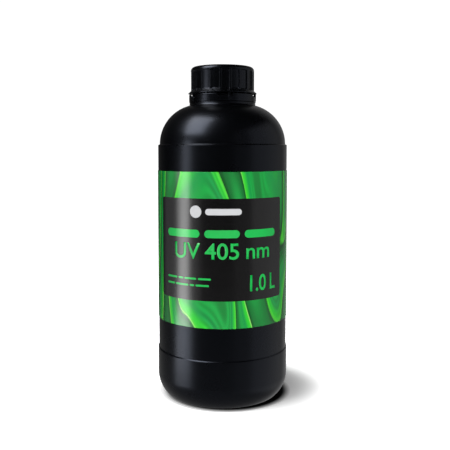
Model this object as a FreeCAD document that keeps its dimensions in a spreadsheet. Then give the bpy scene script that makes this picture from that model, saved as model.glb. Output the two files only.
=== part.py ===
# Round one-litre resin bottle with a ribbed screw cap, tamper-evident band,
# cone seal and wrap-round label.  Millimetres, +Z up, origin on the floor
# under the bottle's axis, front of the label towards -Y.
import FreeCAD, Part
import math
import os
import re
import Sketcher

# name, millimetres or degrees or count, what it is
SIZES = [
    # bottle body
    ("panel_radius", 43.7, "outside of the straight wall behind the label"),
    ("body_height", 170.3, "top of the straight wall"),
    ("wall", 1.5, "blown wall"),
    ("base_step", 0.55, "base cup beyond the straight wall"),
    ("base_cup_height", 32.0, "top of the base cup, where the wall steps in"),
    ("step_slope", 0.6, "height of each step's sloping ledge"),
    ("heel_height", 14.5, "height of the heel curve"),
    ("heel_width", 6.75, "how far the heel curve draws in"),
    ("standing_width", 3.0, "ring that the bottle stands on"),
    ("push_up_height", 4.0, "rise of the hollow base"),
    ("push_up_slope", 4.5, "width of the slope inside the standing ring"),
    ("base_wall", 2.0, "thicker wall at the base"),
    ("shoulder_step", 1.1, "foot of the shoulder inside the straight wall"),
    ("shoulder_rise", 24.8, "height of the shoulder curve"),
    # neck finish
    ("neck_radius", 17.9, "outside of the neck"),
    ("neck_wall", 2.0, "wall of the neck"),
    ("finish_height", 20.9, "neck above the support ring"),
    ("lip_bevel", 0.4, "bevel on the pouring lip"),
    ("ring_depth", 4.4, "support ring beyond the neck"),
    ("ring_thickness", 2.0, "support ring"),
    ("stub_inset", 1.8, "short neck under the support ring, from the ring's edge"),
    ("stub_height", 1.2, "height of that short neck"),
    ("bead_height", 4.5, "underside of the locking bead above the ring"),
    ("bead_depth", 2.5, "how far the locking bead stands out"),
    ("bead_land", 0.4, "full width of the locking bead"),
    ("bead_slope", 1.4, "ramp above the land, where the band snaps over"),
    # label
    ("label_rise", 21.1, "lower edge of the label above the base cup's step"),
    ("label_drop", 16.9, "upper edge of the label below the upper step"),
    ("label_thickness", 0.25, "printed film"),
    ("glue_gap", 0.05, "glue behind the film"),
    ("label_seam", 1.0, "angle left open at the back"),
    # contents
    ("fill_drop", 3.3, "level of the resin below the top of the straight wall"),
    ("fill_gap", 0.1, "resin to wall"),
    # cone seal
    ("seal_thickness", 1.2, "disc that lies on the lip"),
    ("seal_play", 0.45, "disc edge to cap wall"),
    ("plug_gap", 0.1, "plug to bore at the top"),
    ("plug_depth", 7.2, "length of the plug"),
    ("plug_taper", 0.7, "how much the plug narrows"),
    ("plug_wall", 1.0, "wall of the plug"),
    # screw cap
    ("thread_room", 1.45, "neck to cap wall, room for the threads"),
    ("cap_wall", 1.3, "cap wall at the bottom of a recess"),
    ("cap_top_thickness", 1.6, "top panel of the cap"),
    ("keeper_depth", 0.6, "inner ridge that keeps the seal in the cap"),
    ("keeper_gap", 0.1, "ridge to the underside of the seal's disc"),
    ("rib_depth", 0.75, "how far the grip ribs stand out"),
    ("rib_count", 20, "grip ribs"),
    ("rib_width", 1.35, "across one rib"),
    ("rib_turn", -3.5, "angle of the front rib, to the right of the front"),
    ("rib_margin", 0.2, "rib top and foot, beyond the recess's slopes"),
    ("crown_height", 2.5, "rounded top edge"),
    ("crown_inset", 1.9, "rounded top edge"),
    ("flange_width", 1.7, "foot flange beyond the ribs"),
    ("flange_height", 1.9, "foot flange with its slope"),
    ("flange_rim", 0.45, "rim of the foot flange"),
    ("mouth_flare", 1.45, "widening at the cap's mouth"),
    ("mouth_height", 1.9, "height of that widening"),
    # tamper band
    ("band_float", 0.2, "band above the support ring"),
    ("band_height", 4.8, "height of the band"),
    ("band_play", 0.8, "locking bead to the inside of the band"),
    ("band_wall", 1.4, "wall of the band"),
    ("catch_depth", 1.3, "inner ridge that catches under the bead"),
    ("catch_height", 1.8, "height of that ridge"),
    ("catch_play", 0.4, "ridge to the underside of the bead"),
    ("tear_gap", 0.8, "open line between the band and the cap"),
    ("notch_count", 5, "notches, tabs and bridges round the band"),
    ("notch_turn", 4.2, "angle of the front notch, to the right of the front"),
    ("notch_angle", 25.0, "length of a notch"),
    ("notch_depth", 1.7, "depth of a notch"),
    ("tab_offset", 7.3, "tab from the middle of its notch"),
    ("tab_angle", 2.6, "width of a tab"),
    ("tab_depth", 3.9, "how far a tab runs down the band"),
    ("tab_stand", 0.15, "how far a tab stands out of the band"),
    ("score_offset", 11.6, "score line from the middle of its notch"),
    ("score_angle", 5.2, "width of the score line"),
    ("score_depth", 0.5, "depth of the score line"),
    ("bridge_offset", -33.2, "thin bridge from the middle of a notch"),
    ("bridge_angle", 1.8, "width of a thin bridge"),
    ("bridge_depth", 0.7, "thickness of a thin bridge"),
]

doc = FreeCAD.newDocument("resin_bottle")
sheet = doc.addObject("Spreadsheet::Sheet", "Sizes")
for row, (name, value, meaning) in enumerate(SIZES, start=1):
    sheet.set(f"A{row}", name)
    sheet.set(f"B{row}", str(value))
    sheet.set(f"C{row}", meaning)
    sheet.setAlias(f"B{row}", name)
doc.recompute()

# Levels up the bottle, each built on the one below it
CUP_TOP = "base_cup_height + step_slope"
SHOULDER_TOP = "body_height + shoulder_rise"
RING_BOTTOM = f"{SHOULDER_TOP} + stub_height"
RING_TOP = f"{RING_BOTTOM} + ring_thickness"
BEAD_BOTTOM = f"{RING_TOP} + bead_height"
LIP = f"{RING_TOP} + finish_height"
BAND_BOTTOM = f"{RING_TOP} + band_float"
BAND_TOP = f"{BAND_BOTTOM} + band_height"
CAP_BOTTOM = f"{BAND_TOP} + tear_gap"
CEILING = f"{LIP} + seal_thickness"
CAP_TOP = f"{CEILING} + cap_top_thickness"
FLANGE_TOP = f"{CAP_BOTTOM} + flange_height"
CROWN_FOOT = f"{CAP_TOP} - crown_height"

# Radii shared by pieces that fit each other
BASE = "panel_radius + base_step"
STANDING = f"{BASE} - heel_width"
SHOULDER = "panel_radius - shoulder_step"
INSIDE = "panel_radius - wall"
BORE = "neck_radius - neck_wall"
RING = "neck_radius + ring_depth"
STUB = f"{RING} - stub_inset"
BEAD = "neck_radius + bead_depth"
CAP_BORE = "neck_radius + thread_room"
SEAL = f"{CAP_BORE} - seal_play"
RECESS = f"{CAP_BORE} + cap_wall"
RIB = f"{RECESS} + rib_depth"
BAND_BORE = f"{BEAD} + band_play"
BAND = f"{BAND_BORE} + band_wall"


def in_sheet(text):
    """The same sum, with each size name pointed at the sheet."""
    names = "|".join(sorted((name for name, _, _ in SIZES), key=len, reverse=True))
    return re.sub(rf"\b({names})\b", r"Sizes.\1", text)


def size(text):
    """The present value of a sum of size names."""
    return float(sheet.evalExpression(in_sheet(text)))


def origin_feature(body, role):
    return next(part for part in body.Origin.OriginFeatures if part.Role == role)


def new_body(name):
    body = doc.addObject("PartDesign::Body", name)
    body.Label = name
    return body


def fix_corner(sketch, geometry, end, across, up):
    """Hold one end of a line at a radius and a height from the sheet."""
    for kind, axis, text in (("DistanceX", -2, across), ("DistanceY", -1, up)):
        if text == "0":
            sketch.addConstraint(Sketcher.Constraint("PointOnObject", geometry, end, axis))
        else:
            rule = Sketcher.Constraint(kind, -1, 1, geometry, end, size(text))
            index = sketch.addConstraint(rule)
            sketch.setExpression(f"Constraints[{index}]", in_sheet(text))


def section(body, name, corners, turn=None):
    """A closed half-section in the XZ plane, ready to be turned about Z.

    Each corner is (radius, height).  A third entry makes the edge that leaves
    the corner an arc of that radius; a fourth, -1, bends it the other way.
    turn swings the section's plane about Z by an angle from the sheet.
    """
    sketch = body.newObject("Sketcher::SketchObject", name)
    sketch.AttachmentSupport = (origin_feature(body, "XZ_Plane"), [""])
    sketch.MapMode = "FlatFace"
    if turn:
        sketch.AttachmentOffset = FreeCAD.Placement(
            FreeCAD.Vector(), FreeCAD.Rotation(FreeCAD.Vector(0, 1, 0), 1)
        )
        sketch.setExpression("AttachmentOffset.Rotation.Angle", in_sheet(turn))
    points = [FreeCAD.Vector(size(corner[0]), size(corner[1]), 0) for corner in corners]
    ends = []
    for index, corner in enumerate(corners):
        start = points[index]
        stop = points[(index + 1) % len(points)]
        if len(corner) == 2:
            sketch.addGeometry(Part.LineSegment(start, stop), False)
            ends.append((1, 2))
            continue
        bend = corner[3] if len(corner) > 3 else 1
        radius = size(corner[2])
        chord = stop - start
        rise = math.sqrt(radius ** 2 - (chord.Length / 2) ** 2)
        side = FreeCAD.Vector(-chord.y, chord.x, 0).normalize() * rise * bend
        centre = (start + stop) * 0.5 + side
        first, last = (start, stop) if bend > 0 else (stop, start)
        first_angle = math.atan2(first.y - centre.y, first.x - centre.x)
        last_angle = math.atan2(last.y - centre.y, last.x - centre.x)
        circle = Part.Circle(centre, FreeCAD.Vector(0, 0, 1), radius)
        sketch.addGeometry(Part.ArcOfCircle(circle, first_angle, last_angle), False)
        ends.append((1, 2) if bend > 0 else (2, 1))
    for index, corner in enumerate(corners):
        before = index - 1 if index else len(corners) - 1
        join = Sketcher.Constraint("Coincident", before, ends[before][1], index, ends[index][0])
        sketch.addConstraint(join)
        fix_corner(sketch, index, ends[index][0], corner[0], corner[1])
        if len(corner) > 2:
            rule = Sketcher.Constraint("Radius", index, size(corner[2]))
            radius_rule = sketch.addConstraint(rule)
            sketch.setExpression(f"Constraints[{radius_rule}]", in_sheet(corner[2]))
    return sketch


def turned(body, kind, name, sketch, angle=None):
    """Revolve or groove a section about Z, full round or evenly to both sides."""
    feature = body.newObject(f"PartDesign::{kind}", name)
    feature.Profile = sketch
    feature.ReferenceAxis = (origin_feature(body, "Z_Axis"), [""])
    feature.Angle = 360
    if angle:
        feature.Midplane = True
        feature.setExpression("Angle", in_sheet(angle))
    sketch.Visibility = False
    doc.recompute()
    return feature


def round_the_axis(body, name, feature, count):
    """Repeat a feature evenly round Z."""
    pattern = body.newObject("PartDesign::PolarPattern", name)
    pattern.Originals = [feature]
    pattern.Axis = (origin_feature(body, "Z_Axis"), [""])
    pattern.Angle = 360
    pattern.setExpression("Occurrences", in_sheet(count))
    body.Tip = pattern
    doc.recompute()
    return pattern


def face_front(body, turn):
    """Swing the piece so that its XZ plane looks to the front, plus an angle."""
    body.Placement = FreeCAD.Placement(
        FreeCAD.Vector(), FreeCAD.Rotation(FreeCAD.Vector(0, 0, 1), 1)
    )
    body.setExpression("Placement.Rotation.Angle", in_sheet(f"{turn} - 90"))


def curve_radius(run, rise):
    """An arc that leaves an upright wall and draws in by run over a height of rise."""
    return f"(({run}) ^ 2 + ({rise}) ^ 2) / (2 * ({run}))"


def in_flats(radius, height, run, rise, count):
    """Corners of an arc that leaves a wall upright, cut as flats to keep the facets few."""
    whole = f"acos(1 - ({run}) / ({curve_radius(run, rise)}))"
    corners = []
    for step in range(count + 1):
        part = f"{whole} * {step} / {count}"
        inwards = f"({run}) * (1 - cos({part})) / (1 - cos({whole}))"
        upwards = f"({rise}) * sin({part}) / sin({whole})"
        corners.append((f"{radius} - {inwards}", f"{height} + {upwards}"))
    return corners


def inner_floor(inset):
    """Inside of the base, from the wall in to the axis, drawn in by an inset."""
    floor = f"base_wall + {inset}"
    drop = f"heel_height - base_wall - {inset}"
    heel = in_flats(f"{INSIDE} - {inset}", "heel_height", "heel_width", f"-({drop})", 2)
    standing_inner = f"{STANDING} - standing_width"
    return heel + [
        (f"{standing_inner} - {inset}", floor),
        (f"{standing_inner} - push_up_slope - {inset}", f"push_up_height + {floor}"),
        ("0", f"push_up_height + {floor}"),
    ]


def bottle_shell():
    """Blow-moulded bottle: base cup, straight wall, shoulder and neck finish."""
    body = new_body("bottle_shell")
    standing_inner = f"{STANDING} - standing_width"
    outside = [
        ("0", "push_up_height"),
        (f"{standing_inner} - push_up_slope", "push_up_height"),
        (standing_inner, "0"),
        (STANDING, "0", curve_radius("heel_width", "heel_height")),
        (BASE, "heel_height"),
        (BASE, "base_cup_height"),
        ("panel_radius", CUP_TOP),
        ("panel_radius", "body_height - step_slope"),
    ]
    outside += in_flats(SHOULDER, "body_height", f"{SHOULDER} - ({STUB})", "shoulder_rise", 6)
    outside += [
        (STUB, RING_BOTTOM),
        (RING, RING_BOTTOM),
        (RING, RING_TOP),
        ("neck_radius", RING_TOP),
        ("neck_radius", BEAD_BOTTOM),
        (BEAD, BEAD_BOTTOM),
        (BEAD, f"{BEAD_BOTTOM} + bead_land"),
        ("neck_radius", f"{BEAD_BOTTOM} + bead_land + bead_slope"),
        ("neck_radius", f"{LIP} - lip_bevel"),
        ("neck_radius - lip_bevel", LIP),
    ]
    run = f"{SHOULDER} - wall - ({BORE}) - wall"
    rise = "shoulder_rise - wall"
    inside = [
        (BORE, LIP),
        (BORE, f"{SHOULDER_TOP} - wall"),
    ]
    inside += reversed(in_flats(f"{SHOULDER} - wall", "body_height", run, rise, 3))
    inside += [(INSIDE, "body_height - wall")]
    sketch = section(body, "bottle_section", outside + inside + inner_floor("0"))
    turned(body, "Revolution", "bottle_turned", sketch)
    return body


def wrap_label():
    """Printed film wrapped round the straight wall, its seam at the back."""
    body = new_body("wrap_label")
    back = "panel_radius + glue_gap"
    face = f"{back} + label_thickness"
    bottom = f"{CUP_TOP} + label_rise"
    top = "body_height - step_slope - label_drop"
    corners = [(back, bottom), (face, bottom), (face, top), (back, top)]
    sketch = section(body, "label_section", corners)
    turned(body, "Revolution", "label_turned", sketch, "360 - label_seam")
    face_front(body, "0")
    return body


def resin_fill():
    """The liquid, up to its level just below the shoulder."""
    body = new_body("resin_fill")
    level = "body_height - fill_drop"
    corners = [("0", level), (f"{INSIDE} - fill_gap", level)] + inner_floor("fill_gap")
    sketch = section(body, "resin_section", corners)
    turned(body, "Revolution", "resin_turned", sketch)
    return body


def cone_seal():
    """Soft sealing insert: a disc on the lip and a tapered plug in the bore."""
    body = new_body("cone_seal")
    plug = f"{BORE} - plug_gap"
    plug_bottom = f"{LIP} - plug_depth"
    corners = [
        ("0", LIP),
        (f"{plug} - plug_taper - plug_wall", LIP),
        (f"{plug} - plug_taper - plug_wall", plug_bottom),
        (f"{plug} - plug_taper", plug_bottom),
        (plug, LIP),
        (SEAL, LIP),
        (SEAL, CEILING),
        ("0", CEILING),
    ]
    sketch = section(body, "seal_section", corners)
    turned(body, "Revolution", "seal_turned", sketch)
    return body


def screw_cap():
    """Ribbed cap with a rounded crown and a thin foot flange."""
    body = new_body("screw_cap")
    keeper_top = f"{LIP} - keeper_gap"
    corners = [
        (f"{CAP_BORE} + mouth_flare", CAP_BOTTOM),
        (f"{RIB} + flange_width", CAP_BOTTOM),
        (f"{RIB} + flange_width", f"{CAP_BOTTOM} + flange_rim"),
        (RIB, FLANGE_TOP),
        (RIB, CROWN_FOOT, curve_radius("crown_inset", "crown_height")),
        (f"{RIB} - crown_inset", CAP_TOP),
        ("0", CAP_TOP),
        ("0", CEILING),
        (CAP_BORE, CEILING),
        (CAP_BORE, keeper_top),
        (f"{CAP_BORE} - keeper_depth", keeper_top),
        (CAP_BORE, f"{keeper_top} - keeper_depth"),
        (CAP_BORE, f"{CAP_BOTTOM} + mouth_height"),
    ]
    turned(body, "Revolution", "cap_turned", section(body, "cap_section", corners))
    outside = f"{RIB} + rib_depth"
    foot = f"{FLANGE_TOP} + rib_margin"
    head = f"{CROWN_FOOT} - rib_margin"
    recess = [
        (RECESS, f"{foot} + rib_depth"),
        (RIB, foot),
        (outside, foot),
        (outside, head),
        (RIB, head),
        (RECESS, f"{head} - rib_depth"),
    ]
    rib_angle = f"rib_width / ({RIB}) * 180 / pi"
    sketch = section(body, "recess_section", recess)
    groove = turned(body, "Groove", "recess", sketch, f"360 / rib_count - {rib_angle}")
    round_the_axis(body, "recesses", groove, "rib_count")
    face_front(body, "rib_turn + 180 / rib_count")
    return body


def tamper_band():
    """Loose band under the cap, with notches, stout tabs and thin bridges."""
    body = new_body("tamper_band")
    catch_top = f"{BEAD_BOTTOM} - catch_play"
    catch = f"{BAND_BORE} - catch_depth"
    corners = [
        (BAND_BORE, BAND_BOTTOM),
        (BAND, BAND_BOTTOM),
        (BAND, BAND_TOP),
        (BAND_BORE, BAND_TOP),
        (BAND_BORE, catch_top),
        (catch, catch_top),
        (catch, f"{catch_top} - catch_height / 2"),
        (BAND_BORE, f"{catch_top} - catch_height"),
    ]
    turned(body, "Revolution", "band_turned", section(body, "band_section", corners))

    beyond = f"{BAND} + band_wall"
    notch = [
        (f"{BAND_BORE} - catch_depth / 2", f"{BAND_TOP} - notch_depth"),
        (beyond, f"{BAND_TOP} - notch_depth"),
        (beyond, f"{BAND_TOP} + notch_depth"),
        (f"{BAND_BORE} - catch_depth / 2", f"{BAND_TOP} + notch_depth"),
    ]
    cut = turned(body, "Groove", "notch", section(body, "notch_section", notch), "notch_angle")
    round_the_axis(body, "notches", cut, "notch_count")

    score = [
        (f"{BAND} - score_depth", f"{BAND_BOTTOM} - score_depth"),
        (beyond, f"{BAND_BOTTOM} - score_depth"),
        (beyond, f"{BAND_TOP} + score_depth"),
        (f"{BAND} - score_depth", f"{BAND_TOP} + score_depth"),
    ]
    sketch = section(body, "score_section", score, "score_offset")
    cut = turned(body, "Groove", "score", sketch, "score_angle")
    round_the_axis(body, "scores", cut, "notch_count")

    tab = [
        (BAND_BORE, f"{BAND_TOP} - tab_depth"),
        (f"{BAND} + tab_stand", f"{BAND_TOP} - tab_depth"),
        (f"{BAND} + tab_stand", CAP_BOTTOM),
        (BAND_BORE, CAP_BOTTOM),
    ]
    sketch = section(body, "tab_section", tab, "tab_offset")
    post = turned(body, "Revolution", "tab", sketch, "tab_angle")
    round_the_axis(body, "tabs", post, "notch_count")

    bridge = [
        (f"{BAND} - bridge_depth - tab_stand", f"{BAND_TOP} - bridge_depth"),
        (f"{BAND} - tab_stand", f"{BAND_TOP} - bridge_depth"),
        (f"{BAND} - tab_stand", CAP_BOTTOM),
        (f"{BAND} - bridge_depth - tab_stand", CAP_BOTTOM),
    ]
    sketch = section(body, "bridge_section", bridge, "bridge_offset")
    post = turned(body, "Revolution", "bridge", sketch, "bridge_angle")
    round_the_axis(body, "bridges", post, "notch_count")
    face_front(body, "notch_turn")
    return body


pieces = [
    bottle_shell(),
    wrap_label(),
    resin_fill(),
    cone_seal(),
    screw_cap(),
    tamper_band(),
]
doc.recompute()

for item in doc.Objects:
    if "Invalid" in item.State or "Error" in item.State:
        raise RuntimeError(f"{item.Label} failed: {item.State}")
os.makedirs("parts", exist_ok=True)
for piece in pieces:
    shape = piece.Shape
    if shape.isNull() or not shape.isValid() or not shape.Solids:
        raise RuntimeError(f"{piece.Label} has no sound shape")
    print(piece.Label, len(shape.Solids), "solid,", round(shape.Volume, 1), "cubic mm")
    shape.exportStep(f"parts/{piece.Label}.step")
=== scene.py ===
import bmesh
import bpy
import math
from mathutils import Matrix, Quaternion, Vector


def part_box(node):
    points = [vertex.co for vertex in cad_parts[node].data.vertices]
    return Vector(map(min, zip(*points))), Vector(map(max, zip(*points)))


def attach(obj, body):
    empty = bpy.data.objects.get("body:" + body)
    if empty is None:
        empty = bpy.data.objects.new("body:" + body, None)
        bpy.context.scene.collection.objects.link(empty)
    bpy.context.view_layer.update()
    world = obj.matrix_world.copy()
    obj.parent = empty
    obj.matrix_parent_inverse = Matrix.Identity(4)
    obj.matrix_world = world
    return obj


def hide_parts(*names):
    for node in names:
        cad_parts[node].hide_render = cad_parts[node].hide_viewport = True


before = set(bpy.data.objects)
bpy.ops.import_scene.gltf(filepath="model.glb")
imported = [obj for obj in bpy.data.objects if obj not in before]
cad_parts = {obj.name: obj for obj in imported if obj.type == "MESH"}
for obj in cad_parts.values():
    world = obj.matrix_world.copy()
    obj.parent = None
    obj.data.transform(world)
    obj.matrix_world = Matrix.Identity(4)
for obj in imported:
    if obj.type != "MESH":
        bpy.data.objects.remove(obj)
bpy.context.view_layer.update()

# ---------------------------------------------------------------- camera
# A long lens stands half a metre in front of the bottle, a little under the
# height of its shoulder, and looks slightly down.
MM = 0.001
downward = 4.07


def added(name, data):
    """Puts new data into the scene as an object."""
    made = bpy.data.objects.new(name, data)
    bpy.context.collection.objects.link(made)
    return made


camera_data = bpy.data.cameras.new("camera")
camera_data.lens = 55.1
camera_data.sensor_width = 36
camera_data.shift_x = 0.0056
camera_data.shift_y = -0.058
camera = added("camera", camera_data)
camera.location = (0, -471.3 * MM, 166.5 * MM)
camera.rotation_euler = (math.radians(90 - downward), 0, 0)
bpy.context.scene.camera = camera
bpy.context.scene.view_settings.view_transform = "Standard"

# ---------------------------------------------------------------- studio
# A white floor in a white room.  Soft boxes stand at the left and over the
# left shoulder, dim panels at the right, and some light only film or floor.
# The floor isn't seen in reflections, so the boxes may reach below it.


def node(tree, kind, inputs=(), **settings):
    """Adds a node, sets its properties, then fills or links its inputs."""
    made = tree.nodes.new(kind)
    for name, value in settings.items():
        setattr(made, name, value)
    for name, value in dict(inputs).items():
        socket = made.inputs[name]
        if isinstance(value, bpy.types.NodeSocket):
            tree.links.new(value, socket)
        else:
            socket.default_value = value
    return made


def ramped(tree, value, start, stop, low=0.0, high=1.0, smooth=True):
    """Goes from low to high as a value goes from start to stop."""
    made = node(
        tree, "ShaderNodeMapRange",
        {"Value": value, "From Min": start, "From Max": stop, "To Min": low, "To Max": high},
        interpolation_type="SMOOTHSTEP" if smooth else "LINEAR",
    )
    return made.outputs[0]


def combined(tree, operation, *values):
    """One Math node."""
    return node(tree, "ShaderNodeMath", dict(enumerate(values)), operation=operation).outputs[0]


def distance(tree, spot, middle):
    """How far a spot is from a fixed point."""
    made = node(tree, "ShaderNodeVectorMath", {0: spot, 1: middle}, operation="DISTANCE")
    return made.outputs["Value"]


def new_material(name):
    """A material, with its tree and its shader."""
    material = bpy.data.materials.new(name)
    material.use_nodes = True
    return material, material.node_tree, material.node_tree.nodes["Principled BSDF"]


world = bpy.data.worlds.new("white_room")
world.use_nodes = True
world.cycles.sampling_method = "NONE"
tree = world.node_tree
tree.nodes.clear()
ray = node(tree, "ShaderNodeLightPath")
place = node(tree, "ShaderNodeTexCoord")
split = node(tree, "ShaderNodeSeparateXYZ", {0: place.outputs["Generated"]})
behind = ramped(tree, split.outputs["Y"], 0.35, 1.0, 0.0, 0.37)
rightward = ramped(tree, split.outputs["X"], -0.35, 0.35, 0.14, 0.85)
below = ramped(tree, split.outputs["Z"], -0.10, -0.45, 0.004, 0.22)
mirrored = combined(tree, "MULTIPLY_ADD", behind, rightward, below)
frontal = ramped(tree, split.outputs["Y"], -0.45, -1.0, 0.03, 2.8, smooth=False)
glossy_ray = ray.outputs["Is Glossy Ray"]
camera_ray = ray.outputs["Is Camera Ray"]
indoors = node(tree, "ShaderNodeMix", {"Factor": glossy_ray, 2: frontal, 3: mirrored}).outputs[0]
strength = node(tree, "ShaderNodeMix", {"Factor": camera_ray, 2: indoors, 3: 1.05}).outputs[0]
light = node(tree, "ShaderNodeBackground", {"Color": (1, 1, 1, 1), "Strength": strength})
node(tree, "ShaderNodeOutputWorld", {"Surface": light.outputs[0]})
bpy.context.scene.world = world

# The floor glows white, with painted shade: its glow is less where the bottle
# would shade it, and glow and colour all but vanish in a painted contact shadow
# where the bottle touches it.
painted_shadow_middle = (20 * MM, 6 * MM, 0)
painted_contact_middle = (3 * MM, 0, 0)
paper, tree, shader = new_material("white_floor")
shader.inputs["Roughness"].default_value = 0.9
shader.inputs["Specular IOR Level"].default_value = 0.1
shader.inputs["Emission Color"].default_value = (1, 1, 1, 1)
spot = node(tree, "ShaderNodeTexCoord").outputs["Object"]
# Painted shadow: the glow is weaker near a spot just right of and behind the axis.
glow_with_painted_shadow = ramped(tree, distance(tree, spot, painted_shadow_middle), 24 * MM, 80 * MM, 0.14, 0.92)
# Painted contact shadow: glow and colour fall away inside a ring round the bottle's foot.
painted_contact_shadow = ramped(tree, distance(tree, spot, painted_contact_middle), 38.5 * MM, 45.5 * MM)
tree.links.new(combined(tree, "MULTIPLY", glow_with_painted_shadow, painted_contact_shadow), shader.inputs["Emission Strength"])
# The painted contact shadow darkens the floor's colour as well as its glow.
tree.links.new(combined(tree, "MULTIPLY", painted_contact_shadow, 0.9), shader.inputs["Base Color"])
bpy.ops.mesh.primitive_plane_add(size=12)
floor = bpy.context.object
floor.name = "floor"
floor.data.materials.append(paper)
floor.visible_glossy = False
floor.visible_diffuse = False
floor.visible_shadow = False

floor_light = bpy.data.collections.new("floor_light")
floor_light.objects.link(floor)
film_light = bpy.data.collections.new("film_light")


def soft_box(
    name, azimuth, height, away, size, radiance, aim=0.10, lean=0, only=None, mirrored=True
):
    """An area lamp in degrees and metres, its bearing from the front towards the right.

    It faces a point on the bottle's axis at the height aim, and may light
    only one collection.  A mirrored lamp shows in reflections and lights
    nothing else.
    """
    data = bpy.data.lights.new(name, "AREA")
    data.shape = "RECTANGLE"
    data.size, data.size_y = size
    data.energy = radiance * math.pi * size[0] * size[1]
    made = added(name, data)
    bearing = math.radians(azimuth)
    made.location = (away * math.sin(bearing), -away * math.cos(bearing), height)
    facing = (Vector((0, 0, aim)) - made.location).to_track_quat("-Z", "Y")
    made.rotation_euler = (facing @ Quaternion((0, 0, 1), math.radians(lean))).to_euler()
    made.visible_camera = False
    made.visible_diffuse = not mirrored
    made.visible_glossy = mirrored
    if only:
        made.light_linking.receiver_collection = only


soft_box("key_box", -66, 0.09, 0.60, (0.16, 0.40), 2.9, lean=-20)
soft_box("low_box", -71, -0.12, 0.58, (0.34, 0.11), 4.2, aim=-0.12)
soft_box("film_key", -70, 0.10, 0.61, (0.27, 1.10), 2.7, only=film_light)
soft_box("film_wing", -78, 0.10, 0.70, (1.15, 1.20), 0.30, only=film_light)
soft_box("back_box", 180, 0.40, 2.00, (0.60, 0.60), 34.0, only=film_light, mirrored=False)
soft_box("fill_panel", 86, 0.10, 0.90, (1.25, 1.60), 0.28)
soft_box("fill_wing", 62, 0.10, 0.95, (1.70, 1.60), 0.10)
soft_box("top_box", -61, 0.67, 0.48, (0.42, 0.60), 7.2, aim=0.19, lean=15)
soft_box(
    "shadow_box", -53, 0.80, 0.076, (0.11, 0.11), 140.0, aim=0.0, only=floor_light, mirrored=False
)

# ---------------------------------------------------------------- bottle
# Blow-moulded from black polyethylene with a fine matt grain, a mould line
# down both sides and a pinched weld under the hollow base.  The base cup stands
# proud of the label panel, under a round shoulder and a threaded neck.
low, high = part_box("bottle_shell")
base_radius = (high.x - low.x) / 2
lip_height = high.z
panel_radius = base_radius - 0.55 * MM
wall = 1.5 * MM
heel_height = 14.5 * MM
standing_radius = base_radius - 6.75 * MM
hollow_radius = standing_radius - 7.5 * MM
cup_height = 32.0 * MM
step_slope = 0.6 * MM
shoulder_height = 170.3 * MM
shoulder_radius = panel_radius - 1.1 * MM
neck_foot = shoulder_height + 24.8 * MM
neck_radius = 17.9 * MM
bore_radius = neck_radius - 2.0 * MM
ring_radius = neck_radius + 4.4 * MM
ring_bottom = neck_foot + 1.2 * MM
ring_top = ring_bottom + 2.0 * MM
bead_bottom = ring_top + 4.5 * MM
bead_radius = neck_radius + 2.5 * MM
line_depth = 0.05 * MM


def swept(start, stop, steps):
    """Points on the arc that leaves start upright and ends at stop."""
    run = start[0] - stop[0]
    rise = stop[1] - start[1]
    radius = (run * run + rise * rise) / (2 * run)
    centre = start[0] - radius
    turn = math.asin(rise / radius)
    angles = [turn * step / steps for step in range(steps + 1)]
    return [
        (centre + radius * math.cos(angle), start[1] + radius * math.sin(angle))
        for angle in angles
    ]


def softened(corners, steps=4):
    """Rounds the corners of an outline.

    A corner is (radius, height) or (radius, height, rounding).  A rounded
    corner gets a small curve with a spare point on either side, so that the
    long walls next to it still shade as straight.
    """
    outline = []
    for index, corner in enumerate(corners):
        here = Vector(corner[:2])
        rounding = corner[2] if len(corner) > 2 else 0
        if not rounding:
            outline.append(tuple(here))
            continue
        back = Vector(corners[index - 1][:2]) - here
        ahead = Vector(corners[(index + 1) % len(corners)][:2]) - here
        bend = back.angle(ahead)
        reach = min(rounding / math.tan(bend / 2), back.length * 0.45, ahead.length * 0.45)
        first = here + back.normalized() * reach
        last = here + ahead.normalized() * reach
        spare = 0.3 * MM
        if back.length - reach > 3 * spare:
            outline.append(tuple(first + back.normalized() * spare))
        for step in range(steps + 1):
            share = step / steps
            rest = 1 - share
            outline.append(tuple(first * rest ** 2 + here * 2 * share * rest + last * share ** 2))
        if ahead.length - reach > 3 * spare:
            outline.append(tuple(last + ahead.normalized() * spare))
    return outline


def even_turn(steps=256):
    """Bearings for a whole turn, counted from the front towards the right."""
    return [2 * math.pi * step / steps for step in range(steps)]


def outward(skin):
    """Turns the faces of a closed skin outward and shades its small ones smooth."""
    bmesh.ops.recalc_face_normals(skin, faces=skin.faces)
    for face in skin.faces:
        face.smooth = len(face.verts) < 5


def piece_from(name, skin):
    """Turns a skin into an object."""
    mesh = bpy.data.meshes.new(name)
    skin.to_mesh(mesh)
    skin.free()
    return added(name, mesh)


def spun(name, outline, bearings, closed=False, whole=True, lift=None):
    """Spins an outline of (radius, height) points into a smooth mesh.

    A closed outline joins its last point to its first, whole joins the last
    bearing to the first, and lift may change a radius at a given bearing.
    """
    shell = bmesh.new()
    rings = []
    for radius, height in outline:
        if radius < 1e-7:
            rings.append([shell.verts.new((0, 0, height))])
            continue
        ring = []
        for bearing in bearings:
            reach = radius + (lift(radius, height, bearing) if lift else 0)
            across = reach * math.sin(bearing)
            ring.append(shell.verts.new((across, -reach * math.cos(bearing), height)))
        rings.append(ring)
    pairs = list(zip(rings, rings[1:]))
    if closed:
        pairs.append((rings[-1], rings[0]))
    for lower, upper in pairs:
        if len(lower) == len(upper) == 1:
            continue
        for step in range(len(bearings) if whole else len(bearings) - 1):
            after = (step + 1) % len(bearings)
            corners = [lower[step % len(lower)], lower[after % len(lower)]]
            corners += [upper[after % len(upper)], upper[step % len(upper)]]
            shell.faces.new(list(dict.fromkeys(corners)))
    if closed and not whole:
        shell.faces.new([ring[0] for ring in rings])
        shell.faces.new([ring[-1] for ring in rings])
    outward(shell)
    return piece_from(name, shell)


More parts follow.
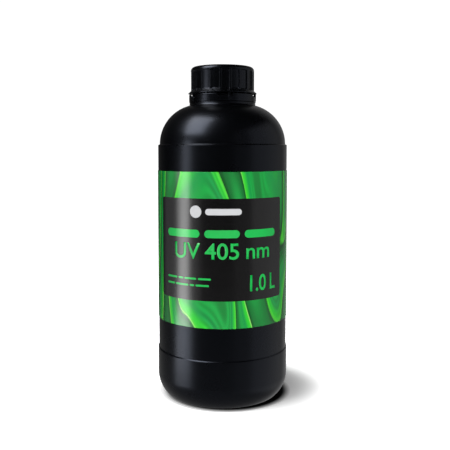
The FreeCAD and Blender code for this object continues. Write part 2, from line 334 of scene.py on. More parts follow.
outside = [
    (0, 4.0 * MM),
    (hollow_radius, 4.0 * MM, 3.0 * MM),
    (standing_radius - 3.0 * MM, 0, 1.2 * MM),
    (standing_radius, 0, 1.4 * MM),
]
heel = swept((base_radius, heel_height), (standing_radius, 0), 18)
heel.reverse()
outside += heel[1:]
outside += [
    (base_radius, cup_height, 0.35 * MM),
    (panel_radius, cup_height + step_slope, 0.35 * MM),
    (panel_radius, shoulder_height - step_slope, 0.5 * MM),
    (shoulder_radius, shoulder_height, 0.3 * MM),
]
outside += swept((shoulder_radius, shoulder_height), (ring_radius, ring_bottom), 30)[1:]
outside += [
    (ring_radius, ring_top, 0.4 * MM),
    (neck_radius, ring_top, 0.5 * MM),
    (neck_radius, bead_bottom, 0.3 * MM),
    (bead_radius, bead_bottom, 0.3 * MM),
    (bead_radius, bead_bottom + 0.4 * MM, 0.3 * MM),
    (neck_radius, bead_bottom + 1.8 * MM, 0.6 * MM),
    (neck_radius, lip_height, 0.5 * MM),
    (bore_radius, lip_height, 0.5 * MM),
]
inside = [(bore_radius, neck_foot - wall, 1.0 * MM)]
vault = swept((shoulder_radius - wall, shoulder_height), (bore_radius + wall, neck_foot - wall), 18)
vault.reverse()
inside += vault[:-1]
inside += [
    (shoulder_radius - wall, shoulder_height - 0.3 * MM),
    (panel_radius - wall, shoulder_height - wall),
    (panel_radius - wall, heel_height),
]
inside += swept((panel_radius - wall, heel_height), (standing_radius - 1.2 * MM, 2.0 * MM), 8)[1:]
inside += [
    (standing_radius - 3.2 * MM, 2.0 * MM),
    (hollow_radius, 6.0 * MM),
    (0, 6.0 * MM),
]
mould_sides = (math.pi / 2, 3 * math.pi / 2)
line_turn = math.radians(0.18)
line_bearings = [side + turn for side in mould_sides for turn in (-line_turn, line_turn)]
bottle = spun("bottle", softened(outside + inside), sorted(even_turn() + line_bearings))
for vert in bottle.data.vertices:
    faces_out = vert.normal.x * vert.co.x > 0.2 * abs(vert.co.x)
    if abs(vert.co.y) < 0.01 * MM and faces_out:
        vert.co.x -= math.copysign(line_depth, vert.co.x)


def weld_ridge(name, length, width, height, foot):
    """A low round ridge under the base, which thins to nothing at its ends."""
    steps = 15
    sides = 12
    thinnest = 0.04
    ridge = bmesh.new()
    rings = []
    for step in range(2 * steps + 1):
        along = step / steps - 1
        size = max(1 - along ** 4, thinnest)
        ring = []
        for turn in range(sides + 1):
            angle = math.pi * turn / sides
            aside = math.cos(angle) * width / 2 * size
            drop = math.sin(angle) * height * size
            ring.append(ridge.verts.new((along * length / 2, aside, foot - drop)))
        rings.append(ring)
    for near, far in zip(rings, rings[1:]):
        for turn in range(sides + 1):
            after = (turn + 1) % (sides + 1)
            ridge.faces.new((near[turn], near[after], far[after], far[turn]))
    ridge.faces.new(rings[0])
    ridge.faces.new(rings[-1])
    outward(ridge)
    return piece_from(name, ridge)


pinch_weld = weld_ridge(
    "pinch_weld", length=50.0 * MM, width=1.4 * MM, height=0.6 * MM, foot=4.02 * MM
)


def sockets(group, in_out, kind, *names):
    """Gives a node group its inputs or outputs of one kind."""
    for name in names:
        group.interface.new_socket(name=name, in_out=in_out, socket_type="NodeSocket" + kind)


def noise(tree, spot, scale, detail, **more):
    """A noise texture over the given spots."""
    inputs = {"Vector": spot, "Scale": scale, "Detail": detail, **more}
    return node(tree, "ShaderNodeTexNoise", inputs)


def blended(tree, factor, first, second):
    """A colour between two colours."""
    made = node(tree, "ShaderNodeMix", {"Factor": factor, 6: first, 7: second}, data_type="RGBA")
    return made.outputs[2]


def grain_group():
    """Fine blasted grain, with slow unevenness under it."""
    group = bpy.data.node_groups.new("moulded_grain", "ShaderNodeTree")
    for name, value in (("Grain", 1800.0), ("Unevenness", 35.0)):
        sockets(group, "INPUT", "Float", name)
        group.interface.items_tree[name].default_value = value
    sockets(group, "OUTPUT", "Float", "Height", "Patches")
    given = node(group, "NodeGroupInput").outputs
    spot = node(group, "ShaderNodeTexCoord").outputs["Object"]
    fine = noise(group, spot, given["Grain"], 3.0).outputs[0]
    slow = noise(group, spot, given["Unevenness"], 2.0).outputs[0]
    height = combined(group, "ADD", fine, combined(group, "MULTIPLY", slow, 1.5))
    node(group, "NodeGroupOutput", {"Height": height, "Patches": slow})
    return group


moulded_grain = grain_group()


def moulded_plastic(name, dark, light, rough, grain, depth, specular, tint=(1, 1, 1, 1)):
    """Moulded plastic, whose colour drifts a little and whose grain scatters light."""
    material, tree, shader = new_material(name)
    surface = node(tree, "ShaderNodeGroup", {"Grain": grain}, node_tree=moulded_grain).outputs
    patches = surface["Patches"]
    colour = blended(tree, patches, (*dark, 1), (*light, 1))
    sheen = ramped(tree, patches, 0.0, 1.0, rough - 0.04, rough + 0.04, smooth=False)
    bump = node(tree, "ShaderNodeBump", {"Height": surface["Height"], "Distance": depth})
    tree.links.new(colour, shader.inputs["Base Color"])
    tree.links.new(sheen, shader.inputs["Roughness"])
    tree.links.new(bump.outputs[0], shader.inputs["Normal"])
    shader.inputs["Specular IOR Level"].default_value = specular
    shader.inputs["Specular Tint"].default_value = tint
    return material


blue_sheen = (0.72, 0.80, 1.0, 1)
blown_black = moulded_plastic(
    "blown_black_plastic", (0.0007, 0.0008, 0.0012), (0.0012, 0.0013, 0.0019),
    rough=0.28, grain=2200.0, depth=0.006 * MM, specular=0.35, tint=blue_sheen,
)
bottle.data.materials.append(blown_black)
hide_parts("bottle_shell")
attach(bottle, "bottle")
pinch_weld.data.materials.append(blown_black)
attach(pinch_weld, "bottle")

# ---------------------------------------------------------------- neck thread
# A single right-hand thread is blown on the neck above the locking bead.  It
# climbs 4 mm a turn and runs out into the wall at both ends.
lead = 4.0 * MM
thread_foot = 207.6 * MM


def finished(group, last, plastic, weld=None):
    """Ends a node tree: real geometry, welded if asked, in one material."""
    real = node(group, "GeometryNodeRealizeInstances", {"Geometry": last.outputs[0]})
    if weld is not None:
        real = node(
            group, "GeometryNodeMergeByDistance", {"Geometry": real.outputs[0], "Distance": weld}
        )
    done = node(
        group, "GeometryNodeSetMaterial", {"Geometry": real.outputs[0], "Material": plastic}
    )
    node(group, "NodeGroupOutput", {"Geometry": done.outputs[0]})


def thread_tree():
    """A trapezoid ridge swept up a spiral, thinning to nothing at its ends.

    A depth under 0 turns the ridge inward.
    """
    group = bpy.data.node_groups.new("screw_thread", "GeometryNodeTree")
    sockets(group, "INPUT", "Geometry", "Geometry")
    sockets(
        group, "INPUT", "Float",
        "Turns", "Lead", "Wall Radius", "Root Width", "Crest Width", "Depth", "Start Height",
    )
    sockets(group, "INPUT", "Material", "Plastic")
    sockets(group, "OUTPUT", "Geometry", "Geometry")
    given = node(group, "NodeGroupInput").outputs
    spiral = node(
        group, "GeometryNodeCurveSpiral",
        {
            "Resolution": 72,
            "Rotations": given["Turns"],
            "Start Radius": given["Wall Radius"],
            "End Radius": given["Wall Radius"],
            "Height": combined(group, "MULTIPLY", given["Turns"], given["Lead"]),
            "Reverse": True,
        },
    )
    upright = node(group, "GeometryNodeSetCurveNormal", {"Curve": spiral.outputs[0]}, mode="Z_UP")
    ridge = node(
        group, "GeometryNodeCurvePrimitiveQuadrilateral",
        {
            "Bottom Width": given["Root Width"],
            "Top Width": given["Crest Width"],
            "Height": combined(group, "ABSOLUTE", given["Depth"]),
            "Offset": 0.0,
        },
        mode="TRAPEZOID",
    )
    side = combined(group, "SIGN", given["Depth"])
    flip = node(group, "ShaderNodeCombineXYZ", {"X": 1.0, "Y": side, "Z": 1.0})
    half = combined(group, "MULTIPLY", given["Depth"], 0.5)
    stand = node(group, "ShaderNodeCombineXYZ", {"Y": half})
    moved = node(
        group, "GeometryNodeTransform",
        {"Geometry": ridge.outputs[0], "Translation": stand.outputs[0], "Scale": flip.outputs[0]},
    )
    quarter = (0, 0, -math.pi / 2)
    profile = node(
        group, "GeometryNodeTransform", {"Geometry": moved.outputs[0], "Rotation": quarter}
    )
    along = node(group, "GeometryNodeSplineParameter").outputs["Factor"]
    nearest = combined(group, "MINIMUM", along, combined(group, "SUBTRACT", 1.0, along))
    swept_ridge = node(
        group, "GeometryNodeCurveToMesh",
        {
            "Curve": upright.outputs[0],
            "Profile Curve": profile.outputs[0],
            "Scale": ramped(group, nearest, 0.0, 0.06, 0.05, 1.0),
            "Fill Caps": True,
        },
    )
    up = node(group, "ShaderNodeCombineXYZ", {"Z": given["Start Height"]})
    placed = node(
        group, "GeometryNodeTransform",
        {"Geometry": swept_ridge.outputs[0], "Translation": up.outputs[0]},
    )
    finished(group, placed, given["Plastic"])
    return group


def grown(name, group, start=None, **values):
    """Runs a node tree with named inputs and keeps its result as a plain mesh."""
    piece = added(name, start or bpy.data.meshes.new(name))
    growth = piece.modifiers.new("growth", "NODES")
    growth.node_group = group
    for item in group.interface.items_tree:
        wanted = item.name.replace(" ", "_").lower()
        if item.in_out == "INPUT" and wanted in values:
            growth[item.identifier] = values[wanted]
    bpy.context.view_layer.update()
    view = bpy.context.evaluated_depsgraph_get()
    mesh = bpy.data.meshes.new_from_object(piece.evaluated_get(view))
    piece.modifiers.remove(growth)
    piece.data = mesh
    mesh.name = name
    facing = bmesh.new()
    facing.from_mesh(mesh)
    bmesh.ops.recalc_face_normals(facing, faces=facing.faces)
    facing.to_mesh(mesh)
    facing.free()
    return piece


screw_thread = thread_tree()
neck_thread = grown(
    "neck_thread", screw_thread, turns=2.3, lead=lead, wall_radius=neck_radius - 0.2 * MM,
    root_width=2.3 * MM, crest_width=0.8 * MM, depth=1.3 * MM, start_height=thread_foot,
    plastic=blown_black,
)
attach(neck_thread, "bottle")

# ---------------------------------------------------------------- label
# A printed polypropylene film is wrapped once round the flat of the bottle
# and its two ends meet at the back.  The print is a marbled green with a
# black panel at the front, and the film has a gloss finish.
label_low, label_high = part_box("wrap_label")
film_outer = (label_high.x - label_low.x) / 2
film_inner = panel_radius + 0.05 * MM
film_bottom = label_low.z
film_top = label_high.z
half_seam = math.radians(0.5)
film_turn = 2 * math.pi - 2 * half_seam
film_steps = 256
film_bearings = [
    -math.pi + half_seam + film_turn * step / film_steps for step in range(film_steps + 1)
]
film_edge = 0.08 * MM
label = spun(
    "wrap_film",
    softened(
        [
            (film_inner, film_bottom),
            (film_outer, film_bottom, film_edge),
            (film_outer, film_top, film_edge),
            (film_inner, film_top),
        ]
    ),
    film_bearings, closed=True, whole=False,
)


def wrap_map(mesh, radius):
    """Lays a map in centimetres on a wrapped sheet, from the seam at the back."""
    layer = mesh.uv_layers.new(name="wrap")
    for polygon in mesh.polygons:
        middle = math.atan2(polygon.center.x, -polygon.center.y)
        for loop in polygon.loop_indices:
            spot = mesh.vertices[mesh.loops[loop].vertex_index].co
            bearing = math.atan2(spot.x, -spot.y)
            if abs(bearing - middle) > math.pi:
                bearing += math.copysign(2 * math.pi, middle)
            layer.data[loop].uv = (bearing * radius / (10 * MM), spot.z / (10 * MM))


wrap_map(label.data, film_outer)


def film_gloss_group():
    """The slow waves and the fine tooth of a film stuck to a moulded wall."""
    group = bpy.data.node_groups.new("film_gloss", "ShaderNodeTree")
    sockets(group, "INPUT", "Float", "Waves", "Tooth")
    sockets(group, "OUTPUT", "Float", "Height", "Roughness")
    given = node(group, "NodeGroupInput").outputs
    spot = node(group, "ShaderNodeTexCoord").outputs["Object"]
    waves = noise(group, spot, given["Waves"], 1.0).outputs[0]
    tooth = noise(group, spot, given["Tooth"], 2.0).outputs[0]
    height = combined(group, "ADD", waves, combined(group, "MULTIPLY", tooth, 0.12))
    rough = ramped(group, tooth, 0.0, 1.0, 0.19, 0.27, smooth=False)
    node(group, "NodeGroupOutput", {"Height": height, "Roughness": rough})
    return group


film_gloss = film_gloss_group()


def printed_film(name):
    """A material with the gloss of the film.  Its ink is linked afterwards."""
    material, tree, shader = new_material(name)
    rates = {"Waves": 60.0, "Tooth": 1500.0}
    surface = node(tree, "ShaderNodeGroup", rates, node_tree=film_gloss).outputs
    bump = node(tree, "ShaderNodeBump", {"Height": surface["Height"], "Distance": 0.02 * MM})
    tree.links.new(surface["Roughness"], shader.inputs["Roughness"])
    tree.links.new(bump.outputs[0], shader.inputs["Normal"])
    shader.inputs["Specular IOR Level"].default_value = 0.6
    return material, tree, shader.inputs["Base Color"]


def marbled_ink():
    """Folded greens: a bent flow is cut into folds that run from dark to light."""
    material, tree, ink = printed_film("marbled_green_film")
    wrap = node(tree, "ShaderNodeUVMap", uv_map="wrap").outputs[0]
    spot = node(
        tree, "ShaderNodeMapping",
        {"Vector": wrap, "Scale": (0.36, 0.10, 1.0), "Location": (5.1, 2.2, 0)},
    ).outputs[0]
    drift = noise(tree, spot, 0.8, 0.0, Distortion=0.3).outputs["Color"]
    push = node(tree, "ShaderNodeVectorMath", {0: drift, 1: (2.4, 1.2, 0)}, operation="MULTIPLY")
    bent = node(tree, "ShaderNodeVectorMath", {0: spot, 1: push.outputs[0]}, operation="ADD")
    flow = noise(tree, bent.outputs[0], 0.7, 0.0).outputs[0]
    fold = combined(tree, "FRACT", combined(tree, "MULTIPLY", flow, 5.2))
    greens = node(tree, "ShaderNodeValToRGB", {0: fold})
    ramp = greens.color_ramp
    ramp.interpolation = "EASE"
    stops = (
        (0.00, (0.000, 0.085, 0.012)),
        (0.16, (0.000, 0.17, 0.024)),
        (0.45, (0.000, 0.34, 0.045)),
        (0.62, (0.000, 0.30, 0.050)),
        (0.84, (0.015, 0.56, 0.022)),
        (0.95, (0.060, 0.66, 0.025)),
        (1.00, (0.000, 0.085, 0.012)),
    )
    while len(ramp.elements) < len(stops):
        ramp.elements.new(0.5)
    for element, (position, green) in zip(ramp.elements, stops):
        element.position = position
        element.color = (*green, 1)
    # Pale threads run along some of the folds, and fine lines comb the others.
    where = noise(tree, spot, 1.1, 0.0).outputs[0]
    rising = ramped(tree, fold, 0.925, 0.95)
    falling = ramped(tree, fold, 0.975, 0.955)
    ridge = combined(tree, "MULTIPLY", rising, falling)
    crest = combined(tree, "MULTIPLY", ridge, ramped(tree, where, 0.48, 0.60, 0.0, 0.8))
    threads = blended(tree, crest, greens.outputs[0], (0.42, 0.72, 0.22, 1))
    comb = combined(tree, "SINE", combined(tree, "MULTIPLY", flow, 240.0))
    some = ramped(tree, where, 0.48, 0.36, 0.0, 0.16)
    tone = combined(tree, "MULTIPLY_ADD", comb, some, 1.0)
    final = node(tree, "ShaderNodeVectorMath", {0: threads, 1: tone}, operation="MULTIPLY")
    tree.links.new(final.outputs[0], ink)
    return material


label.data.materials.append(marbled_ink())
film_light.objects.link(label)
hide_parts("wrap_label")
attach(label, "bottle")

# ---------------------------------------------------------------- label print
# A black panel with rounded corners fills the front of the label, and on it
# are plain bars where text would stand, a wavelength and a volume.
ink_radius = film_outer
panel_middle = math.radians(-2.0)
panel_layer = (ink_radius - 0.03 * MM, 0.07 * MM)
mark_layer = (ink_radius + 0.03 * MM, 0.05 * MM)
strip = 1.0 * MM


def flat_plate(corners, rounding=0.0):
    """A flat outline of (across, up) corners in millimetres, rounded."""
    turn_steps = 6
    plate = bmesh.new()
    spots = []
    for index, corner in enumerate(corners):
        here = Vector(corner)
        if not rounding:
            spots.append(here)
            continue
        back = (Vector(corners[index - 1]) - here).normalized() * rounding
        ahead = (Vector(corners[(index + 1) % len(corners)]) - here).normalized() * rounding
        centre = here + back + ahead
        for step in range(turn_steps + 1):
            angle = math.pi / 2 * step / turn_steps
            spots.append(centre - ahead * math.cos(angle) - back * math.sin(angle))
    plate.faces.new([plate.verts.new((spot.x * MM, spot.y * MM, 0)) for spot in spots])
    return plate


def rectangle(left, bottom, right, top):
    """The four corners of a rectangle."""
    return [(left, bottom), (right, bottom), (right, top), (left, top)]


def bar(left, bottom, width, height):
    """A bar with ends just short of round, so that none of its edges has zero length."""
    corners = rectangle(left, bottom, left + width, bottom + height)
    return flat_plate(corners, rounding=height / 2 * 0.999)


def lettering(text, left, right, bottom, height, weight):
    """Text in the built-in face, fitted to a width and a capital height."""
    curve = bpy.data.curves.new("lettering", "FONT")
    curve.body = text
    curve.offset = weight
    curve.space_word = 0.8
    curve.resolution_u = 6
    piece = added("lettering", curve)
    bpy.context.view_layer.update()
    view = bpy.context.evaluated_depsgraph_get()
    mesh = bpy.data.meshes.new_from_object(piece.evaluated_get(view))
    bpy.data.objects.remove(piece)
    flat = bmesh.new()
    flat.from_mesh(mesh)
    across = [vert.co.x for vert in flat.verts]
    up = [vert.co.y for vert in flat.verts]
    wide = (right - left) / (max(across) - min(across))
    tall = height / (max(up) - min(up))
    for vert in flat.verts:
        vert.co.x = (left + (vert.co.x - min(across)) * wide) * MM
        vert.co.y = (bottom + (vert.co.y - min(up)) * tall) * MM
    return flat


def printed(name, plates, layer, material):
    """Wraps flat plates round the label as thin closed ink.

    They are first cut into upright strips, so that they follow the curve.  A
    layer is the radius that the ink starts at and its thickness.
    """
    radius, thickness = layer
    joined = bmesh.new()
    for plate in plates:
        spare = bpy.data.meshes.new("plate")
        plate.to_mesh(spare)
        plate.free()
        joined.from_mesh(spare)
        bpy.data.meshes.remove(spare)
    bmesh.ops.remove_doubles(joined, verts=joined.verts, dist=1e-6)
    across = [vert.co.x for vert in joined.verts]
    cut = min(across) + strip
    while cut < max(across):
        everything = joined.verts[:] + joined.edges[:] + joined.faces[:]
        bmesh.ops.bisect_plane(joined, geom=everything, plane_co=(cut, 0, 0), plane_no=(1, 0, 0))
        cut += strip
    bmesh.ops.dissolve_degenerate(joined, dist=0.001 * MM, edges=joined.edges[:])
    raised = bmesh.ops.extrude_face_region(joined, geom=joined.faces[:])
    for item in raised["geom"]:
        if isinstance(item, bmesh.types.BMVert):
            item.co.z += thickness
    for vert in joined.verts:
        bearing = panel_middle + vert.co.x / ink_radius
        reach = radius + vert.co.z
        vert.co = (reach * math.sin(bearing), -reach * math.cos(bearing), vert.co.y)
    bmesh.ops.recalc_face_normals(joined, faces=joined.faces)
    piece = piece_from(name, joined)
    piece.data.materials.append(material)
    film_light.objects.link(piece)
    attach(piece, "bottle")


def plain_ink(name, dark, light):
    """One colour of ink, a little uneven, under the same gloss."""
    material, tree, ink = printed_film(name)
    spot = node(tree, "ShaderNodeTexCoord").outputs["Object"]
    drift = noise(tree, spot, 240.0, 3.0).outputs[0]
    tree.links.new(blended(tree, drift, (*dark, 1), (*light, 1)), ink)
    return material


panel_half = math.radians(60.5) * ink_radius / MM
panel_corners = rectangle(-panel_half, 71.3, panel_half, 136.1)
printed(
    "panel_print", [flat_plate(panel_corners, 1.8)], panel_layer,
    plain_ink("black_ink", (0.0030, 0.0028, 0.0032), (0.0055, 0.0052, 0.0058)),
)
printed(
    "pale_print", [bar(-19.7, 123.9, 7.8, 7.8), bar(-9.4, 125.8, 23.2, 4.0)], mark_layer,
    plain_ink("white_ink", (0.52, 0.53, 0.55), (0.60, 0.61, 0.62)),
)
green_marks = [
    bar(-39.2, 111.4, 26.0, 5.0),
    bar(-10.0, 111.4, 22.5, 5.0),
    bar(15.7, 111.4, 24.0, 5.0),
    lettering("UV 405 nm", -32.0, 34.5, 97.8, 10.4, weight=0.012),
    lettering("1.0 L", 19.5, 40.5, 77.0, 10.6, weight=0.014),
]
fine_rows = (
    (84.6, ((-39.2, 9.0), (-29.0, 4.0), (-24.0, 8.5), (-14.3, 8.5))),
    (80.4, ((-39.2, 7.0), (-31.2, 10.0), (-20.2, 3.2), (-16.0, 9.0))),
)
for bottom, bars in fine_rows:
    green_marks += [bar(left, bottom, width, 1.2) for left, width in bars]
printed(
    "green_print", green_marks, mark_layer,
    plain_ink("green_ink", (0.0, 0.44, 0.065), (0.004, 0.52, 0.08)),
)

# ---------------------------------------------------------------- resin
# The bottle is filled to just under its shoulder with a liquid resin, tinted
# green and a little cloudy.  It can't be seen unless the bottle is cut open.
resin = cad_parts["resin_fill"]
liquid, tree, shader = new_material("tinted_resin")
spot = node(tree, "ShaderNodeTexCoord").outputs["Object"]
cloud = noise(tree, spot, 25.0, 3.0).outputs[0]
tint = blended(tree, cloud, (0.03, 0.55, 0.04, 1), (0.10, 0.72, 0.06, 1))
ripple = node(tree, "ShaderNodeBump", {"Height": cloud, "Distance": 0.3 * MM})
tree.links.new(tint, shader.inputs["Base Color"])
tree.links.new(ripple.outputs[0], shader.inputs["Normal"])
shader.inputs["Roughness"].default_value = 0.08
resin.data.materials.clear()
resin.data.materials.append(liquid)

# ---------------------------------------------------------------- seal
# A soft natural polyethylene cone plugs the bore, and its flat rim is pinched
# between the lip of the neck and the ceiling of the cap.
seal_low, seal_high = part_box("cone_seal")
disc_radius = (seal_high.x - seal_low.x) / 2
plug_radius = bore_radius - 0.1 * MM
plug_bore = plug_radius - 1.7 * MM
seal = spun(
    "plug_seal",
    softened(
        [
            (0, lip_height + 0.2 * MM),
            (plug_bore, lip_height + 0.2 * MM, 0.4 * MM),
            (plug_bore, seal_low.z, 0.4 * MM),
            (plug_radius - 0.7 * MM, seal_low.z, 0.4 * MM),
            (plug_radius, lip_height, 0.3 * MM),
            (disc_radius, lip_height, 0.25 * MM),
            (disc_radius, seal_high.z, 0.25 * MM),
            (0, seal_high.z),
        ]
    ),
    even_turn(192),
)
seal_white = moulded_plastic(
    "natural_polyethylene", (0.70, 0.71, 0.69), (0.80, 0.80, 0.77),
    rough=0.34, grain=900.0, depth=0.006 * MM, specular=0.45,
)
seal.data.materials.append(seal_white)
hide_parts("cone_seal")
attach(seal, "seal")

# ---------------------------------------------------------------- cap
# The cap is injection moulded from the same black plastic, but smoother.  It
# has twenty grip ribs that stand out of a sunk band, a rounded crown, and a
# thin flange at its foot, and its shallow top panel shows the gate mark.
cap_low, cap_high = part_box("screw_cap")
flange_radius = (cap_high.x - cap_low.x) / 2
rib_radius = flange_radius - 1.7 * MM
recess_radius = rib_radius - 0.75 * MM
cap_bore = 19.35 * MM
cap_foot = cap_low.z
cap_top = cap_high.z
foot_bore = 20.8 * MM
wall_foot = 206.0 * MM
crown_foot = 219.5 * MM
keeper_radius = 18.75 * MM
keeper_top = 219.1 * MM
panel_floor = cap_top - 0.3 * MM
gate_floor = cap_top - 0.5 * MM
rib_count = 20
rib_width = 1.35 * MM
rib_flank = 0.38 * MM
rib_crest = 0.68 * MM
rib_dome = 0.16
recess_foot = 206.2 * MM
recess_head = 219.3 * MM
ceiling = seal_high.z
first_rib = math.radians(-3.5)


def eased(share):
    """Goes from 0 to 1 with a soft start and a soft end."""
    share = min(max(share, 0), 1)
    return share * share * (3 - 2 * share)


def grip(radius, height, bearing):
    """How far the wall of the cap is sunk between two ribs."""
    if radius < rib_radius - 1e-6 or not recess_foot < height < recess_head:
        return 0
    depth = rib_radius - recess_radius
    aside = abs(bearing) * rib_radius
    sunk = eased((aside - rib_width / 2) / rib_flank + 0.35)
    sunk += (1 - sunk) * rib_dome * min(aside / rib_crest, 1) ** 2
    ends = eased((height - recess_foot) / depth) * eased((recess_head - height) / depth)
    return -depth * sunk * ends


crown = swept((rib_radius, crown_foot), (rib_radius - 1.9 * MM, cap_top), 8)
# The rows lie close together where the recess starts and ends.
wall_rows = [206.15, 206.25, 206.4, 206.55, 206.7, 206.85, 207.0, 207.3]
wall_rows += [208.5, 212.0, 216.0, 218.0, 218.4, 218.6, 218.75, 218.9, 219.05, 219.2, 219.3, 219.4]
cap_outside = softened(
    [
        (foot_bore, cap_foot),
        (flange_radius, cap_foot, 0.2 * MM),
        (flange_radius, cap_foot + 0.45 * MM, 0.2 * MM),
        (rib_radius, wall_foot, 0.25 * MM),
        (rib_radius, wall_rows[0] * MM),
    ],
    steps=3,
)
cap_outside += [(rib_radius, row * MM) for row in wall_rows[1:]]
cap_outside += crown[:-1]
cap_outside += softened(
    [
        crown[-2],
        (crown[-1][0], cap_top, 0.3 * MM),
        (17.4 * MM, cap_top, 0.4 * MM),
        (17.0 * MM, panel_floor, 0.4 * MM),
        (1.6 * MM, panel_floor, 0.3 * MM),
        (1.2 * MM, gate_floor, 0.2 * MM),
        (0.7 * MM, gate_floor, 0.1 * MM),
        (0.5 * MM, panel_floor, 0.1 * MM),
        (0, panel_floor),
    ],
    steps=3,
)[1:]
cap_inside = softened(
    [
        (0, ceiling),
        (cap_bore, ceiling, 0.4 * MM),
        (cap_bore, keeper_top, 0.1 * MM),
        (keeper_radius, keeper_top, 0.15 * MM),
        (keeper_radius, 218.6 * MM, 0.15 * MM),
        (cap_bore, 218.0 * MM, 0.3 * MM),
        (cap_bore, wall_foot, 0.4 * MM),
        (foot_bore, cap_foot),
    ],
    steps=3,
)
half_pitch = math.pi / rib_count
rib_steps = [0, 0.22, 0.40, 0.55, 0.66, 0.76, 0.86, 0.98, 1.15, 1.6, 2.3]
rib_bearings = [step * MM / rib_radius for step in rib_steps] + [half_pitch]
sector_bearings = [-bearing for bearing in reversed(rib_bearings[1:])] + rib_bearings
sector = spun("cap_sector", cap_outside + cap_inside, sector_bearings, whole=False, lift=grip)


def ring_tree():
    """Repeats one sector round the axis and welds the copies together."""
    group = bpy.data.node_groups.new("ring_of_sectors", "GeometryNodeTree")
    sockets(group, "INPUT", "Geometry", "Geometry")
    sockets(group, "INPUT", "Int", "Count")
    sockets(group, "INPUT", "Float", "First Bearing", "Weld Distance")
    sockets(group, "INPUT", "Material", "Plastic")
    sockets(group, "OUTPUT", "Geometry", "Geometry")
    given = node(group, "NodeGroupInput").outputs
    hubs = node(group, "GeometryNodeMeshLine", {"Count": given["Count"], "Offset": (0, 0, 0)})
    which = node(group, "GeometryNodeInputIndex").outputs[0]
    pitch = combined(group, "DIVIDE", 2 * math.pi, given["Count"])
    turn = combined(group, "MULTIPLY_ADD", which, pitch, given["First Bearing"])
    spin = node(group, "ShaderNodeCombineXYZ", {"Z": turn})
    turned_by = node(group, "FunctionNodeEulerToRotation", {0: spin.outputs[0]})
    copies = node(
        group, "GeometryNodeInstanceOnPoints",
        {
            "Points": hubs.outputs[0],
            "Instance": given["Geometry"],
            "Rotation": turned_by.outputs[0],
        },
    )
    finished(group, copies, given["Plastic"], weld=given["Weld Distance"])
    return group


ring_of_sectors = ring_tree()
moulded_black = moulded_plastic(
    "moulded_black_plastic", (0.0007, 0.0008, 0.0011), (0.0012, 0.0013, 0.0018),
    rough=0.25, grain=2600.0, depth=0.004 * MM, specular=0.35, tint=blue_sheen,
)


def ringed(name, sector, count, first):
    """Makes the whole ring from a sector, which is then removed."""
    mesh = sector.data
    bpy.data.objects.remove(sector)
    return grown(
        name, ring_of_sectors, start=mesh, count=count, first_bearing=first,
        weld_distance=0.002 * MM, plastic=moulded_black,
    )


cap = ringed("ribbed_cap", sector, rib_count, first_rib)
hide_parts("screw_cap")
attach(cap, "cap")

cap_thread = grown(
    "cap_thread", screw_thread, turns=1.6, lead=lead, wall_radius=cap_bore + 0.2 * MM,
    root_width=1.9 * MM, crest_width=0.7 * MM, depth=-1.4 * MM,
    start_height=thread_foot + lead / 2, plastic=moulded_black,
)
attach(cap_thread, "cap")

# ---------------------------------------------------------------- tamper band
# The band was moulded with the cap and snapped over the locking bead.  Five
# notches leave tabs and thin bridges that tear when the cap is first turned.
band_low, band_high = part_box("tamper_band")
band_outer = 22.6 * MM
band_bore = 21.2 * MM
catch_radius = 19.9 * MM
band_bottom = band_low.z
band_top = 203.3 * MM
notch_floor = band_top - 1.7 * MM
bridge_top = band_high.z
tab_radius = 22.75 * MM
score_radius = band_outer - 0.5 * MM
bridge_inner = 21.75 * MM
bridge_outer = 22.45 * MM
tab_foot = 199.4 * MM
catch_foot = 200.6 * MM
catch_head = 202.4 * MM
band_parts = 5

# Bearings in degrees, within one of the five equal parts of the band.
part_start = -47.0
part_end = part_start + 72.0
bridge = (-29.9, -28.1)
notch = (-8.3, 16.7)
tab = (10.2, 12.8)
score = (13.2, 18.4)


def breaks(marks, longest):
    """Spreads marks so that no two neighbours are further apart than longest."""
    spread = [marks[0]]
    for before, after in zip(marks, marks[1:]):
        parts = max(1, math.ceil((after - before) / longest - 1e-6))
        spread += [before + (after - before) * part / parts for part in range(1, parts + 1)]
    return spread


band_bearings = breaks(sorted([part_start, *bridge, *notch, *tab, *score, part_end]), 2.0)
band_radii = [
    catch_radius, band_bore, bridge_inner, score_radius, bridge_outer, band_outer, tab_radius
]
band_heights = [
    band_bottom, tab_foot, catch_foot, notch_floor, catch_head, band_top, bridge_top
]


def in_band(bearing, radius, height):
    """Whether the plastic of the band fills a spot."""
    if catch_radius < radius < band_bore:
        return catch_foot < height < catch_head
    if tab[0] < bearing < tab[1] and tab_foot < height < bridge_top and radius > band_bore:
        return True
    if radius > band_outer:
        return False
    if bridge[0] < bearing < bridge[1] and height > band_top:
        return bridge_inner < radius < bridge_outer
    if notch[0] < bearing < notch[1] and height > notch_floor:
        return False
    if score[0] < bearing < score[1] and radius > score_radius:
        return False
    return height < band_top


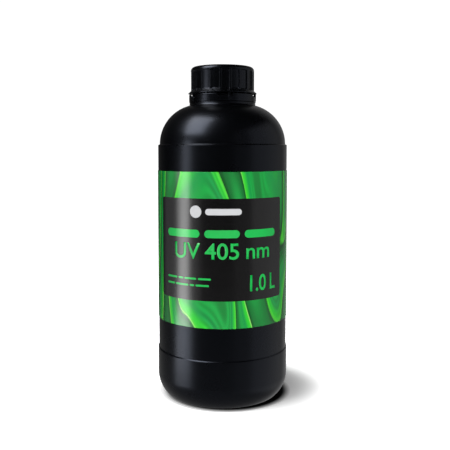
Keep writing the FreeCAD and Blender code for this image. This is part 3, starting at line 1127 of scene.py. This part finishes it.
def filled_cells(bearings, radii, heights, test):
    """Skins the cells that a test fills, in bearing, radius and height."""
    solid = bmesh.new()
    corners = {}

    def corner(a, r, h):
        """The vertex at one corner of the cells, made only once."""
        if (a, r, h) not in corners:
            bearing = math.radians(bearings[a])
            across = radii[r] * math.sin(bearing)
            corners[a, r, h] = solid.verts.new((across, -radii[r] * math.cos(bearing), heights[h]))
        return corners[a, r, h]

    counts = (len(bearings) - 1, len(radii) - 1, len(heights) - 1)
    cells = set()
    for a in range(counts[0]):
        for r in range(counts[1]):
            for h in range(counts[2]):
                middle = ((bearings[a] + bearings[a + 1]) / 2, (radii[r] + radii[r + 1]) / 2)
                if test(*middle, (heights[h] + heights[h + 1]) / 2):
                    cells.add((a, r, h))
    for cell in cells:
        for axis in range(3):
            for side in (0, 1):
                beside = list(cell)
                beside[axis] += 2 * side - 1
                if tuple(beside) in cells or (axis == 0 and not 0 <= beside[0] < counts[0]):
                    continue
                others = [other for other in range(3) if other != axis]
                face = []
                for one, two in ((0, 0), (1, 0), (1, 1), (0, 1)):
                    spot = list(cell)
                    spot[axis] += side
                    spot[others[0]] += one
                    spot[others[1]] += two
                    face.append(corner(*spot))
                solid.faces.new(face)
    bmesh.ops.recalc_face_normals(solid, faces=solid.faces)
    return solid


band_solid = filled_cells(band_bearings, band_radii, band_heights, in_band)
# The catch ridge slopes out from its foot, so that the band snaps on.
same_spot = 1e-7
for vert in band_solid.verts:
    at_foot = abs(vert.co.z - catch_foot) < same_spot
    if at_foot and abs(vert.co.xy.length - catch_radius) < same_spot:
        vert.co.xy *= (band_bore - 0.3 * MM) / catch_radius
sharp_angle = math.radians(35)
sharp = [
    edge for edge in band_solid.edges
    if len(edge.link_faces) == 2 and edge.calc_face_angle() > sharp_angle
]
bmesh.ops.bevel(band_solid, geom=sharp, offset=0.11 * MM, segments=2, affect="EDGES", profile=0.5)
for face in band_solid.faces:
    face.smooth = True
band = ringed("notched_band", piece_from("band_sector", band_solid), band_parts, 0.0)
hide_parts("tamper_band")
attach(band, "tamper_ring")
